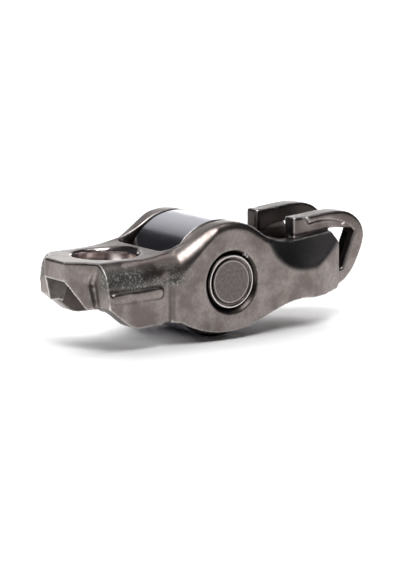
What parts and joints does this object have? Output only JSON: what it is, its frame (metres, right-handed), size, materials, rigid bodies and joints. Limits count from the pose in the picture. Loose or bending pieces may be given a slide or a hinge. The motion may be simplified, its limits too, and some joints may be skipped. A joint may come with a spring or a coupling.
{
  "type": "rocker arm",
  "caption": "Roller rocker arm for a valve train: cast body with a bored ring end and a forked ball socket, and a needle-bearing roller on a staked pin.",
  "frame": {"origin": "the roller's axis, on the arm's mid-plane", "axes": "+X along the arm from the ring end to the fork, +Y along the roller's axis, +Z out of the ring's flat face, the way the socket's mouth faces"},
  "size_m": [0.052, 0.019, 0.0175],
  "materials": {
    "cast_body": "satin",
    "pin_steel": "satin",
    "roller_steel": "gloss",
    "needle_steel": "gloss"
  },
  "bodies": {
    "arm": {"arm_body": "cast_body", "axle_pin": "pin_steel"},
    "roller": {"roller": "roller_steel"},
    "needles": {"needle_01": "needle_steel", "needle_02": "needle_steel", "needle_03": "needle_steel", "needle_04": "needle_steel", "needle_05": "needle_steel", "needle_06": "needle_steel", "needle_07": "needle_steel", "needle_08": "needle_steel", "needle_09": "needle_steel", "needle_10": "needle_steel", "needle_11": "needle_steel", "needle_12": "needle_steel", "needle_13": "needle_steel", "needle_14": "needle_steel", "needle_15": "needle_steel", "needle_16": "needle_steel", "needle_17": "needle_steel"}
  },
  "joints": [
    {"name": "roller_spin", "type": "hinge", "parent": "arm", "child": "roller", "pos_m": [0, 0, 0], "axis": [0, 1, 0], "continuous": true},
    {"name": "needle_orbit", "type": "hinge", "parent": "arm", "child": "needles", "pos_m": [0, 0, 0], "axis": [0, 1, 0], "continuous": true}
  ],
  "couplings": [
    {"joint": "needle_orbit", "follows": "roller_spin", "ratio": 0.5921}
  ]
}
